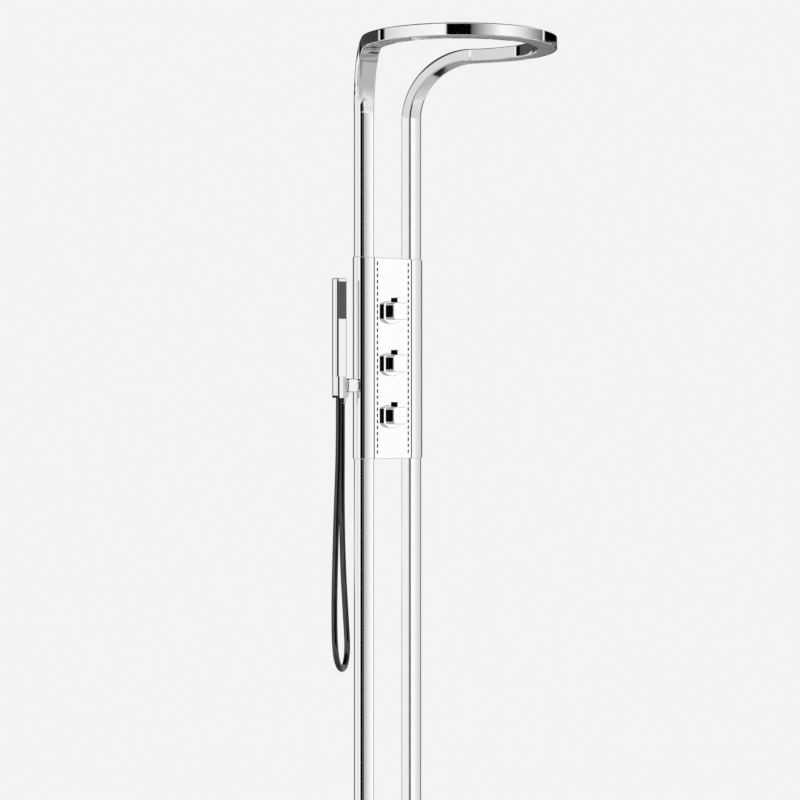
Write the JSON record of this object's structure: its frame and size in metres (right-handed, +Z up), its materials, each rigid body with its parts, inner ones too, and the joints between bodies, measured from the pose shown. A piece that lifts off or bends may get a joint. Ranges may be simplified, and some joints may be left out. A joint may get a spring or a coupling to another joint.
{
  "type": "shower panel",
  "caption": "Floor standing shower panel: twin flat tubes meeting in a level spray ring, jet panel with knobs, and a hand shower on a hose.",
  "frame": {"origin": "underside of the floor plate, midway between the two columns", "axes": "+Z up, front towards -Y, +X to the right seen from the front"},
  "size_m": [0.38, 0.52, 2.1946],
  "materials": {
    "chrome": "polished",
    "steel": "satin",
    "brass": "machined",
    "rubber": "matt",
    "dark_plastic": "satin",
    "hose_skin": "polished"
  },
  "bodies": {
    "panel": {"right_column": "chrome", "left_column": "chrome", "right_bend": "chrome", "left_bend": "chrome", "ring_shell": "chrome", "right_cover": "chrome", "left_cover": "chrome", "front_plate": "chrome", "diverter_rosette": "chrome", "flow_rosette": "chrome", "thermostat_rosette": "chrome", "holder_arm": "chrome", "holder_knuckle": "chrome", "holder_cup": "chrome", "hose_outlet": "chrome", "outlet_nut": "chrome", "floor_plate": "steel", "right_socket": "steel", "left_socket": "steel", "back_plate": "steel", "top_cap": "steel", "bottom_cap": "steel", "ring_plate": "steel", "right_inlet": "brass", "left_inlet": "brass", "manifold": "brass", "right_links": "brass", "left_links": "brass", "diverter_cartridge": "brass", "flow_cartridge": "brass", "thermostat_cartridge": "brass", "right_jet_strip": "rubber", "left_jet_strip": "rubber", "right_seam": "rubber", "left_seam": "rubber", "ring_nozzles": "rubber", "hose": "hose_skin"},
    "diverter_knob": {"diverter_handle": "chrome", "diverter_tab": "chrome", "diverter_spindle": "brass"},
    "flow_knob": {"flow_handle": "chrome", "flow_tab": "chrome", "flow_spindle": "brass"},
    "thermostat_knob": {"thermostat_handle": "chrome", "thermostat_tab": "chrome", "thermostat_spindle": "brass"},
    "handset": {"handset_body": "chrome", "spray_plate": "dark_plastic", "spray_nubs": "rubber", "handset_nut": "chrome"}
  },
  "joints": [
    {"name": "diverter_turn", "type": "hinge", "parent": "panel", "child": "diverter_knob", "pos_m": [-0.0125, -0.026, 1.667], "axis": [0, -1, 0], "range_deg": [-45, 45]},
    {"name": "flow_turn", "type": "hinge", "parent": "panel", "child": "flow_knob", "pos_m": [-0.0125, -0.026, 1.5635], "axis": [0, -1, 0], "range_deg": [0, 90]},
    {"name": "thermostat_turn", "type": "hinge", "parent": "panel", "child": "thermostat_knob", "pos_m": [-0.0125, -0.026, 1.46], "axis": [0, -1, 0], "range_deg": [-90, 90]},
    {"name": "handset_lift", "type": "slide", "parent": "panel", "child": "handset", "axis": [0, 0, 1], "range_m": [0, 0.06]}
  ]
}
